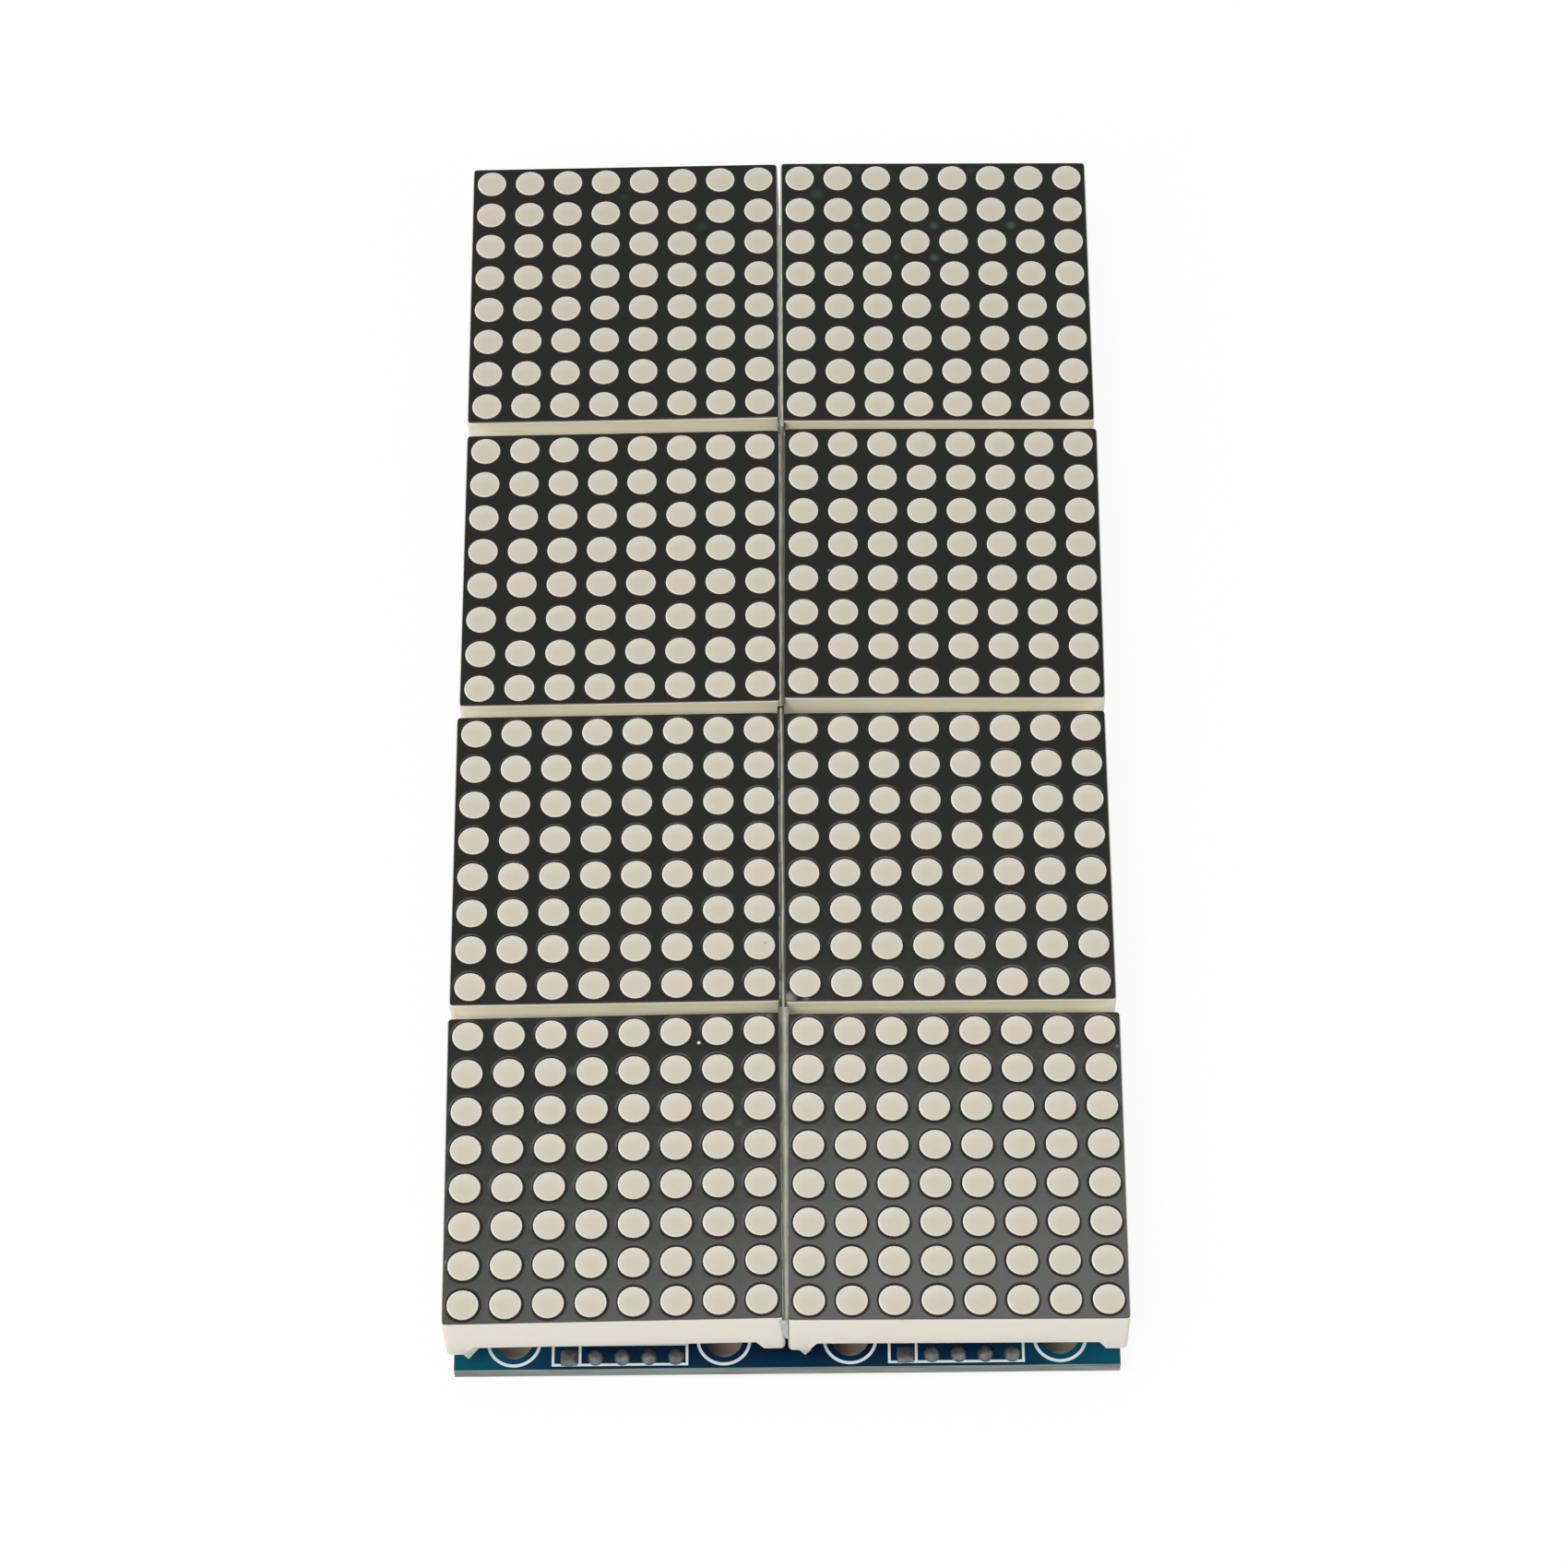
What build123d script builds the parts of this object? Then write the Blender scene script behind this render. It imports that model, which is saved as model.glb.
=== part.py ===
from build123d import *
import os

# An eight-module LED dot matrix display, in millimetres.
# X runs across the two columns, Y along the four rows and Z up, out of the lit faces.
# The origin is the centre of the mounting hole pattern, on the back of the circuit board.

os.makedirs("parts", exist_ok=True)

# Dots of a module
dots_per_side = 8
dot_pitch = 4.0
dot_width = 3.0
dot_sides = 8
dot_crown = 0.1

# Gaps between modules, across the columns and along the rows
column_gap = 0.4
row_gap = 1.3

# How each module sits in its sockets, each column from the near end to the far one:
# shift right, shift away, turn, rise to the right and rise away, in mm and degrees
module_seats = {
    "left": [
        (-0.10, 0.00, 0.4, 0.9, 0.2),
        (-0.10, 0.00, 0.0, 0.7, 0.5),
        (0.10, 0.00, -0.1, 0.9, 0.1),
        (0.10, 0.10, 0.1, 0.5, -0.4),
    ],
    "right": [
        (0.05, -0.10, -0.1, -0.1, 0.4),
        (-0.15, -0.05, 0.1, -0.3, 0.6),
        (0.05, 0.20, -0.4, -0.3, -0.2),
        (0.00, -0.10, -0.1, -0.9, 0.8),
    ],
}

# Reflector case of a module
wall_depth = 5.6
case_corner = 0.4
foot_height = 1.5
foot_width = 2.0
foot_flare = 0.7
case_wall = 1.0
recess_depth = 2.1

# Black face film
film_thickness = 0.15
film_rim = 0.15
film_corner = 0.3

# Chip board that closes the back of a module
chip_board_thickness = 1.6
chip_board_clearance = 0.1

# Pins of a module and the sockets that take them
pin_pitch = 2.54
pins_per_row = 8
pin_row_inset = 4.0
pin_width = 0.5
pin_play = 0.4
pin_end_gap = 0.5
seat_gap = 0.6
socket_width = 2.5
socket_height = 5.5
socket_floor = 1.6

# Circuit board
board_thickness = 1.6
board_side_inset = 0.5
hole_radius = 1.75
hole_side_inset = 6.0
hole_end_inset = 2.85

# Row of five pads at each end of each column
pads_per_group = 5
pad_inset = 1.15
pad_group_shift = 0.33
solder_width = 1.5
solder_height = 0.75
first_solder_width = 1.7
first_solder_height = 0.5

# Solder joints of the socket contacts, on the back of the board
joint_width = 1.5
joint_sides = 6
joint_height = 0.9

# Right-angle pin headers at the far end, on the back of the board
header_pin_width = 0.64
header_pin_reach = 6.0
header_bend = 1.5
header_height = 2.54
header_pin_fit = 0.03
tail_play = 0.15

# Driver chip, one under each module
chip_length = 15.4
chip_width = 7.5
chip_height = 2.4
chip_draft = 6

# Small parts past the ends of each driver chip: length, width and height, and offset from its middle
end_part_gap = 0.8
ceramic_size = (2.0, 1.25, 0.9)
ceramic_offset = 2.4
tank_size = (3.5, 2.8, 1.9)
tank_offset = -2.0
resistor_size = (2.0, 1.25, 0.55)
resistor_offset = 2.4

# Values that follow from the sizes above
columns = len(module_seats)
rows = len(module_seats["left"])
module_size = dots_per_side * dot_pitch
column_pitch = module_size + column_gap
row_pitch = module_size + row_gap
board_width = (columns - 1) * column_pitch + module_size - 2 * board_side_inset
board_length = (rows - 1) * row_pitch + module_size
pad_row_y = board_length / 2 - pad_inset
hole_y = board_length / 2 - hole_end_inset
hole_spacing = module_size - 2 * hole_side_inset
case_depth = wall_depth + foot_height
recess_size = module_size - 2 * case_wall
chip_board_size = recess_size - 2 * chip_board_clearance
chip_board_back = recess_depth - wall_depth - chip_board_thickness
face_z = board_thickness + socket_height + seat_gap - chip_board_back
film_size = module_size - 2 * film_rim
pin_length = seat_gap + socket_height - socket_floor - pin_end_gap
pin_row_spacing = module_size - 2 * pin_row_inset
slot_width = pin_width + 2 * pin_play
socket_length = pins_per_row * pin_pitch
slot_length = (pins_per_row - 1) * pin_pitch + slot_width
header_y = pad_row_y + header_bend + header_height / 2
header_pin_z = -header_height / 2
header_tip_y = header_y + header_height / 2 + header_pin_reach
tail_hole = header_pin_width + 2 * tail_play


# Patterns that more than one piece follows
def module_grid():
    return GridLocations(column_pitch, row_pitch, columns, rows)


def pad_grid():
    return GridLocations(pin_pitch, 0, pads_per_group, 1)


def contact_grid():
    return GridLocations(pin_row_spacing, pin_pitch, 2, pins_per_row)


# Circuit board: two mounting holes at each end of each column, and holes for the header tails
with BuildPart() as circuit_board:
    with BuildSketch():
        Rectangle(board_width, board_length)
        with GridLocations(module_size, 2 * hole_y, columns, 2):
            with GridLocations(hole_spacing, 0, 2, 1):
                Circle(hole_radius, mode=Mode.SUBTRACT)
        with Locations((pad_group_shift, pad_row_y)):
            with GridLocations(module_size, 0, columns, 1):
                with pad_grid():
                    Rectangle(tail_hole, tail_hole, mode=Mode.SUBTRACT)
    extrude(amount=board_thickness)


# Module pieces are made about the centre of the module's face, with the body below it

# Reflector case: an ivory block with a recess in its back and a foot under each corner
with BuildPart() as reflector_case:
    with BuildSketch(Plane.XY.offset(-film_thickness)) as case_outline:
        Rectangle(module_size, module_size)
        chamfer(case_outline.vertices(), case_corner)
    extrude(amount=film_thickness - case_depth)
    with BuildSketch(Plane.XY.offset(-case_depth)):
        Rectangle(recess_size, recess_size)
    extrude(amount=foot_height + recess_depth, mode=Mode.SUBTRACT)
    for side in (Plane.XZ, Plane.YZ):
        with BuildSketch(side):
            with BuildLine():
                Polyline(
                    (foot_width + foot_flare - module_size / 2, -wall_depth),
                    (module_size / 2 - foot_width - foot_flare, -wall_depth),
                    (module_size / 2 - foot_width, -case_depth),
                    (foot_width - module_size / 2, -case_depth),
                    close=True,
                )
            make_face()
        extrude(amount=module_size / 2, both=True, mode=Mode.SUBTRACT)

# Black film over the front of the case, short of its edges so that a pale rim shows
with BuildPart() as face_film:
    with BuildSketch() as film_outline:
        Rectangle(film_size, film_size)
        chamfer(film_outline.vertices(), film_corner)
    extrude(amount=-film_thickness)

# Dots: the crowned tops of the resin in the reflector cups, each drawn with eight sides
with BuildPart() as dot_lens:
    with BuildSketch() as dot_outline:
        RegularPolygon(dot_width / 2, dot_sides, major_radius=False, rotation=180 / dot_sides)
    loft(sections=[dot_outline.face(), Vertex(0, 0, dot_crown)], ruled=True)
with BuildPart() as dot_lenses:
    with GridLocations(dot_pitch, dot_pitch, dots_per_side, dots_per_side):
        add(dot_lens.part)

# Chip board: carries the LED chips and closes the recess
with BuildPart() as chip_board:
    with BuildSketch(Plane.XY.offset(recess_depth - wall_depth)):
        Rectangle(chip_board_size, chip_board_size)
    extrude(amount=-chip_board_thickness)

# Pins in two rows along Y, down into the sockets
with BuildPart() as module_pins:
    with BuildSketch(Plane.XY.offset(chip_board_back)):
        with contact_grid():
            Rectangle(pin_width, pin_width)
    extrude(amount=-pin_length)


# Socket strips of one module, on the board: the eight contact wells run together as one slot
with BuildPart() as socket_strips:
    with BuildSketch(Plane.XY.offset(board_thickness)):
        with GridLocations(pin_row_spacing, 0, 2, 1):
            Rectangle(socket_width, socket_length)
    extrude(amount=socket_height)
    with BuildSketch(Plane.XY.offset(board_thickness + socket_floor)):
        with GridLocations(pin_row_spacing, 0, 2, 1):
            Rectangle(slot_width, slot_length)
    extrude(amount=socket_height - socket_floor, mode=Mode.SUBTRACT)


# Solder joints under the socket contacts
with BuildPart() as joint:
    with BuildSketch() as joint_outline:
        RegularPolygon(joint_width / 2, joint_sides, major_radius=False, rotation=180 / joint_sides)
    loft(sections=[joint_outline.face(), Vertex(0, 0, -joint_height)], ruled=True)
with BuildPart() as socket_joints:
    with module_grid():
        with contact_grid():
            add(joint.part)


# Driver chips, moulded with a draft above and below their leads
with BuildPart() as driver_chips:
    with BuildSketch(Plane.XY.offset(board_thickness + chip_height / 2)):
        with module_grid():
            Rectangle(chip_width, chip_length)
    extrude(amount=chip_height / 2, both=True, taper=chip_draft)


# Small surface-mounted parts of one kind, one past the far end (1) or near end (-1) of each driver chip
def end_parts(size, offset, end):
    from_middle = chip_length / 2 + end_part_gap + size[1] / 2
    with BuildPart() as blocks:
        with module_grid():
            with Locations((offset, end * from_middle, board_thickness)):
                Box(*size, align=(Align.CENTER, Align.CENTER, Align.MIN))
    return blocks


ceramic_capacitors = end_parts(ceramic_size, ceramic_offset, 1)
tank_capacitors = end_parts(tank_size, tank_offset, 1)
resistors = end_parts(resistor_size, resistor_offset, -1)


# Solder on the end pads: a square joint on the first pad of each group and round ones on the rest
with BuildPart() as round_solder:
    with BuildSketch() as round_outline:
        RegularPolygon(solder_width / 2, dot_sides, major_radius=False)
    loft(sections=[round_outline.face(), Vertex(0, 0, solder_height)], ruled=True)
with BuildPart() as first_solder:
    with BuildSketch() as first_outline:
        Rectangle(first_solder_width, first_solder_width)
    loft(sections=[first_outline.face(), Vertex(0, 0, first_solder_height)], ruled=True)
with BuildPart() as pad_solder:
    with Locations((pad_group_shift, 0, board_thickness)):
        with GridLocations(module_size, 2 * pad_row_y, columns, 2):
            with Locations((-(pads_per_group - 1) * pin_pitch / 2, 0)):
                add(first_solder.part)
            with Locations((pin_pitch / 2, 0)):
                with GridLocations(pin_pitch, 0, pads_per_group - 1, 1):
                    add(round_solder.part)


# Right-angle headers: plastic bodies beyond the far edge, with pins that bend up into the board
with BuildPart() as header_bodies:
    with Locations((pad_group_shift, header_y, -header_height)):
        with GridLocations(module_size, 0, columns, 1):
            Box(pads_per_group * pin_pitch, header_height, header_height,
                align=(Align.CENTER, Align.CENTER, Align.MIN))
    with BuildSketch(Plane.XZ.offset(-header_y)):
        with Locations((pad_group_shift, header_pin_z)):
            with GridLocations(module_size, 0, columns, 1):
                with pad_grid():
                    Rectangle(header_pin_width + 2 * header_pin_fit, header_pin_width + 2 * header_pin_fit)
    extrude(amount=header_height, both=True, mode=Mode.SUBTRACT)
with BuildPart() as header_pin:
    with BuildSketch(Plane.YZ):
        with BuildLine():
            Polyline(
                (header_tip_y, header_pin_z - header_pin_width / 2),
                (header_tip_y, header_pin_z + header_pin_width / 2),
                (pad_row_y + header_pin_width / 2, header_pin_z + header_pin_width / 2),
                (pad_row_y + header_pin_width / 2, board_thickness),
                (pad_row_y - header_pin_width / 2, board_thickness),
                (pad_row_y - header_pin_width / 2, header_pin_z - header_pin_width / 2),
                close=True,
            )
        make_face()
    extrude(amount=header_pin_width / 2, both=True)
with BuildPart() as header_pins:
    with Locations((pad_group_shift, 0)):
        with GridLocations(module_size, 0, columns, 1):
            with pad_grid():
                add(header_pin.part)


# Each module's pieces are written where that module sits, its sockets where the board carries them
def write(piece, name):
    piece.label = name
    export_step(piece, f"parts/{name}.step")


module_pieces = {
    "reflector_case": reflector_case,
    "face_film": face_film,
    "dot_lenses": dot_lenses,
    "chip_board": chip_board,
    "module_pins": module_pins,
}
for column, (side_name, seats) in enumerate(module_seats.items()):
    for row, (shift_x, shift_y, turn, rise_x, rise_y) in enumerate(seats):
        centre_x = (column - (columns - 1) / 2) * column_pitch
        centre_y = (row - (rows - 1) / 2) * row_pitch
        place = f"{side_name}_{row + 1}"
        seat = Location((centre_x + shift_x, centre_y + shift_y, face_z), (rise_y, -rise_x, turn))
        for piece_name, piece in module_pieces.items():
            write(piece.part.moved(seat), f"{piece_name}_{place}")
        write(socket_strips.part.moved(Location((centre_x, centre_y, 0))), f"socket_strips_{place}")

write(circuit_board.part, "circuit_board")
write(socket_joints.part, "socket_joints")
write(driver_chips.part, "driver_chips")
write(ceramic_capacitors.part, "ceramic_capacitors")
write(tank_capacitors.part, "tank_capacitors")
write(resistors.part, "resistors")
write(pad_solder.part, "pad_solder")
write(header_bodies.part, "header_bodies")
write(header_pins.part, "header_pins")
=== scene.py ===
# %% [markdown]
# # A dot matrix display board
# Eight square LED modules plug into one blue circuit board. Each module is an ivory plastic case
# with a glossy black film over its front and 64 pale resin dots in the film. The construction
# comes packed as a fixed frame, and this lesson dresses it: it rebuilds the surfaces that the eye
# rests on, and gives every piece a finish.

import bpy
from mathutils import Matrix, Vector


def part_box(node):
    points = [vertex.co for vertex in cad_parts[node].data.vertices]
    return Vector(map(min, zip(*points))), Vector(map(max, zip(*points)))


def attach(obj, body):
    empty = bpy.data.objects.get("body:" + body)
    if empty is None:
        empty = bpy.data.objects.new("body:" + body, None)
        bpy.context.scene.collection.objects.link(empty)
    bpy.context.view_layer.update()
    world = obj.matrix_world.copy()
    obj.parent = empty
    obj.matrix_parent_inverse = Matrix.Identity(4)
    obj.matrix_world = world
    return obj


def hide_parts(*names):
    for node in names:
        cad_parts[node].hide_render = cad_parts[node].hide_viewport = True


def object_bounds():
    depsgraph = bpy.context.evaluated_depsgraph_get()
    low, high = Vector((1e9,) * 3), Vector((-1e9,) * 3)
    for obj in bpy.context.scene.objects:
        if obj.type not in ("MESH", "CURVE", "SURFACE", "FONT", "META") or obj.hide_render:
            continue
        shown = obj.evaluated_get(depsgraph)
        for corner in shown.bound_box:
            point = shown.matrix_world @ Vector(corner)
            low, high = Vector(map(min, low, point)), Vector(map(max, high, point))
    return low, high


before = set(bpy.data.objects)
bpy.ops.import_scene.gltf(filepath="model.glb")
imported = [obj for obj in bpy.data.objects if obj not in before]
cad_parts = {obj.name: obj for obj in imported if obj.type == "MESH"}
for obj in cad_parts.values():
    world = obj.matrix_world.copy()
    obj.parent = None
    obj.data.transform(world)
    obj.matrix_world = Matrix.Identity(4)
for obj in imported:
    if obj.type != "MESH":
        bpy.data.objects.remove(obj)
cad_low, cad_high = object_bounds()
print("frame", len(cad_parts), "nodes, size in mm", [round(1000 * s, 1) for s in cad_high - cad_low])

# %% Units, module places and the board's sizes
import math

import bmesh
import bpy
import numpy as np
from mathutils import Vector

MM = 0.001
SIDES = ("left", "right")
ROWS = (1, 2, 3, 4)
PLACES = [f"{side}_{row}" for side in SIDES for row in ROWS]
board_low, board_high = (np.array(corner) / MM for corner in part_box("circuit_board"))
BOARD_TOP = board_high[2]
BOARD_HALF = board_high[:2]
print("board in mm", board_low.round(2), board_high.round(2))


def add_object(name, data):
    """Puts a camera, a lamp or a mesh into the scene."""
    made = bpy.data.objects.new(name, data)
    bpy.context.scene.collection.objects.link(made)
    return made


# %% [markdown]
# ## Where the camera stands
# The photograph was taken from one short end of the board, about 61 degrees above it, with a long
# lens from half a metre away. A long lens keeps the eight modules nearly the same size. The place,
# the turn and the lens come from fitting the grid of dots, so they are kept as plain values.

# %% Camera
CAMERA_PLACE = (4.26, -267.04, 474.66)
CAMERA_TURN = (29.211, 0.684, -0.323)
CAMERA_LENS = 123.44
HALF_PIXEL = 0.5 / 1700  # the fit counted from the middle of a pixel, as a share of the picture

camera_data = bpy.data.cameras.new("photo_camera")
camera_data.lens = CAMERA_LENS
camera_data.sensor_width = 36.0
camera_data.shift_x = -HALF_PIXEL
camera_data.shift_y = HALF_PIXEL
camera_data.clip_start = 0.01
camera_data.clip_end = 20.0
camera = add_object("photo_camera", camera_data)
camera.location = Vector(CAMERA_PLACE) * MM
camera.rotation_euler = [math.radians(turn) for turn in CAMERA_TURN]
bpy.context.scene.camera = camera
bpy.context.scene.view_settings.view_transform = "Standard"
print("camera", [round(c, 3) for c in camera.location])

# %% [markdown]
# ## Light
# Half of the light is an even dome, and half is one broad lamp above the camera's side, which
# reaches into the narrow gaps between the modules. The camera and the mirroring surfaces see plain
# white instead of the dome, so that a black film mirrors the same everywhere.


# %% World
def add_node(tree, kind, inputs=None, **settings):
    """Adds a node of one kind, sets its properties, and gives its inputs plain values or links."""
    made = tree.nodes.new(kind)
    for key, value in settings.items():
        setattr(made, key, value)
    for key, value in (inputs or {}).items():
        if isinstance(value, bpy.types.NodeSocket):
            tree.links.new(value, made.inputs[key])
        else:
            made.inputs[key].default_value = value
    return made


def maths(operation, *terms):
    """The result of a math node whose first term is another node's output."""
    return add_node(terms[0].id_data, "ShaderNodeMath", dict(enumerate(terms)), operation=operation).outputs[0]


def ramp(value, low, high, start=0.0, end=1.0, kind="LINEAR"):
    """A value's run from low to high turned into one from start to end, and held beyond."""
    ends = {"Value": value, "From Min": low, "From Max": high, "To Min": start, "To Max": end}
    return add_node(value.id_data, "ShaderNodeMapRange", ends, interpolation_type=kind).outputs["Result"]


def seen_directly(tree):
    """One for rays that see a background: from the camera, off a mirror and through glass."""
    path = add_node(tree, "ShaderNodeLightPath").outputs
    return maths("MAXIMUM", maths("MAXIMUM", path["Is Camera Ray"], path["Is Glossy Ray"]),
                 path["Is Transmission Ray"])


DOME_LIGHT = 0.40
world = bpy.data.worlds.new("studio")
bpy.context.scene.world = world
world.use_nodes = True
sky = world.node_tree
sky.nodes.clear()
sky_seen = add_node(sky, "ShaderNodeBackground", {"Color": (1, 1, 1, 1), "Strength": 1.0})
sky_light = add_node(sky, "ShaderNodeBackground", {"Color": (1.0, 0.995, 0.985, 1), "Strength": DOME_LIGHT})
sky_mix = add_node(sky, "ShaderNodeMixShader", {
    0: seen_directly(sky), 1: sky_light.outputs[0], 2: sky_seen.outputs[0]})
add_node(sky, "ShaderNodeOutputWorld", {0: sky_mix.outputs[0]})


# %% Lamp
LAMP_PLACE = Vector((-285, -495, 960)) * MM
LAMP_SIZE = 450.0
LAMP_SHARE = 0.73  # how bright the lamp alone makes a white sheet that faces it

lamp_data = bpy.data.lights.new("front_lamp", "AREA")
lamp_data.size = LAMP_SIZE * MM
lamp_data.energy = LAMP_SHARE * (math.pi * LAMP_PLACE.length) ** 2
front_lamp = add_object("front_lamp", lamp_data)
front_lamp.location = LAMP_PLACE
front_lamp.rotation_euler = (-LAMP_PLACE).to_track_quat("-Z", "Y").to_euler()
front_lamp.visible_glossy = False
print("lamp power", round(lamp_data.energy, 2))

# %% [markdown]
# ## Surfaces from arrays
# Every new piece is a grid of points worked out with numpy. One helper turns such a grid into
# quads, one repeats a small mesh, and one makes the mesh, welded and with its crisp edges marked.


# %% Mesh helpers
def quads(rows, columns, wrap_rows=False, wrap_columns=False):
    """Faces of a grid of points, row by row; a wrapped direction joins its last line to its first."""
    r = np.arange(rows if wrap_rows else rows - 1)[:, None]
    c = np.arange(columns if wrap_columns else columns - 1)[None, :]
    r2 = (r + 1) % rows
    c2 = (c + 1) % columns
    corners = (r * columns + c, r2 * columns + c, r2 * columns + c2, r * columns + c2)
    return np.stack([np.broadcast_to(k, (r.size, c.size)) for k in corners], -1).reshape(-1, 4)


def repeat(points, faces, centres):
    """Copies of one small mesh, with its origin at each of the centres."""
    all_points = (points[None] + centres[:, None]).reshape(-1, 3)
    step = len(points)
    all_faces = [[corner + step * k for corner in face] for k in range(len(centres)) for face in faces]
    return all_points, all_faces


def join(*parts):
    """One set of points and faces from several."""
    starts = np.cumsum([0] + [len(points) for points, _ in parts])
    faces = [[corner + start for corner in face] for (_, part), start in zip(parts, starts) for face in part]
    return np.concatenate([points for points, _ in parts]), faces


def tube(rings, close=True):
    """A surface through rings of equally many points, with a flat face on each end when closed."""
    rings = np.asarray(rings)
    faces = quads(rings.shape[0], rings.shape[1], wrap_columns=True).tolist()
    if close:
        last = rings.shape[0] * rings.shape[1]
        faces += [list(range(rings.shape[1])), list(range(last - rings.shape[1], last))]
    return rings.reshape(-1, 3), faces


def piece(name, points, faces, finish, stands_for=(), crisp=38.0, outward=True, weld=True):
    """Makes a mesh object from millimetre points, and rides it on the board."""
    data = bpy.data.meshes.new(name)
    data.from_pydata((np.asarray(points) * MM).tolist(), [], [[int(corner) for corner in face] for face in faces])
    shell = bmesh.new()
    shell.from_mesh(data)
    if weld:
        bmesh.ops.remove_doubles(shell, verts=shell.verts, dist=1e-7)
    if outward:
        bmesh.ops.recalc_face_normals(shell, faces=shell.faces)
    shell.to_mesh(data)
    shell.free()
    data.shade_smooth()
    data.set_sharp_from_angle(angle=math.radians(crisp))
    data.materials.append(finish)
    made = add_object(name, data)
    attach(made, "root")
    if stands_for:
        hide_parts(*stands_for)
    return made


# %% [markdown]
# ## How each module sits
# No module sits quite square in its sockets, and the film mirrors the studio, so a lean of half a
# degree shows. The frame holds the true seats. The long edges of a module's film give its two
# directions, and the middle of the film's points gives its centre.


# %% Seats
def seat_of(node):
    """Middle of a square plate's top face and its three directions, from its points and long edges."""
    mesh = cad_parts[node].data
    points = np.empty(len(mesh.vertices) * 3)
    mesh.vertices.foreach_get("co", points)
    points = points.reshape(-1, 3) / MM
    ends = np.empty(len(mesh.edges) * 2, dtype=np.int64)
    mesh.edges.foreach_get("vertices", ends)
    runs = np.diff(points[ends.reshape(-1, 2)], axis=1)[:, 0]
    along = []
    for axis, other in ((0, 1), (1, 0)):
        near = runs[(np.abs(runs[:, axis]) > 20) & (np.abs(runs[:, other]) < 2)]
        mean = (near * np.sign(near[:, axis:axis + 1])).mean(0)
        along.append(mean / np.linalg.norm(mean))
    up = np.cross(*along)
    middle = np.unique(points.round(4), axis=0).mean(0)
    top = ((points - middle) @ up).max()
    return middle + top * up, np.stack([along[0], np.cross(up, along[0]), up])


seats = {place: seat_of(f"face_film_{place}") for place in PLACES}
for place, (centre, _) in seats.items():
    print(place, "centre", centre.round(2))


def seated(points, place):
    """Points made about a module's face centre, put where that module sits."""
    centre, directions = seats[place]
    return np.asarray(points) @ directions + centre


# %% [markdown]
# ## Finishes: shared effects
# A soft drift of colour, fine relief, sparse specks and drawn-out streaks are each a node group,
# made once. The groups read a vector in metres and put out only masks, colours or heights.

# %% Node groups
FLOAT = "NodeSocketFloat"
COLOUR = "NodeSocketColor"
VECTOR = "NodeSocketVector"


def new_group(name, inputs, output):
    """A shader node group with its sockets, each given as (name, kind, start value)."""
    group = bpy.data.node_groups.new(name, "ShaderNodeTree")
    for label, kind, start in inputs:
        socket = group.interface.new_socket(name=label, in_out="INPUT", socket_type=kind)
        if start is not None:
            socket.default_value = start
    group.interface.new_socket(name=output[0], in_out="OUTPUT", socket_type=output[1])
    return group, group.nodes.new("NodeGroupInput").outputs, group.nodes.new("NodeGroupOutput").inputs


# Soft drift between two colours
drift, given, out = new_group("colour_drift", [("Vector", VECTOR, None), ("Scale", FLOAT, 100.0),
                                               ("Colour A", COLOUR, None), ("Colour B", COLOUR, None)],
                              ("Colour", COLOUR))
cloud = add_node(drift, "ShaderNodeTexNoise", {"Vector": given["Vector"], "Scale": given["Scale"], "Detail": 4.0,
                                               "Roughness": 0.6})
blend = add_node(drift, "ShaderNodeMix", {"Factor": ramp(cloud.outputs["Fac"], 0.3, 0.7), "A": given["Colour A"],
                                          "B": given["Colour B"]}, data_type="RGBA")
drift.links.new(blend.outputs["Result"], out["Colour"])

# Fine relief: two sizes of noise mixed into one height
relief, given, out = new_group("fine_relief", [("Vector", VECTOR, None), ("Coarse", FLOAT, 300.0),
                                               ("Fine", FLOAT, 3000.0), ("Share", FLOAT, 0.3)], ("Height", FLOAT))
coarse = add_node(relief, "ShaderNodeTexNoise", {"Vector": given["Vector"], "Scale": given["Coarse"], "Detail": 2.0})
fine = add_node(relief, "ShaderNodeTexNoise", {"Vector": given["Vector"], "Scale": given["Fine"], "Detail": 3.0})
both = add_node(relief, "ShaderNodeMix", {"Factor": given["Share"], "A": coarse.outputs["Fac"],
                                          "B": fine.outputs["Fac"]})
relief.links.new(both.outputs["Result"], out["Height"])

# Sparse specks: the middles of a few random cells
specks, given, out = new_group("sparse_specks", [("Vector", VECTOR, None), ("Scale", FLOAT, 400.0),
                                                 ("Size", FLOAT, 0.12), ("Share", FLOAT, 0.1)], ("Mask", FLOAT))
cells = add_node(specks, "ShaderNodeTexVoronoi", {"Vector": given["Vector"], "Scale": given["Scale"]}, feature="F1")
chance = add_node(specks, "ShaderNodeSeparateColor", {0: cells.outputs["Color"]}).outputs[0]
specks.links.new(maths("MULTIPLY", maths("LESS_THAN", cells.outputs["Distance"], given["Size"]),
                       maths("LESS_THAN", chance, given["Share"])), out["Mask"])

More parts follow.
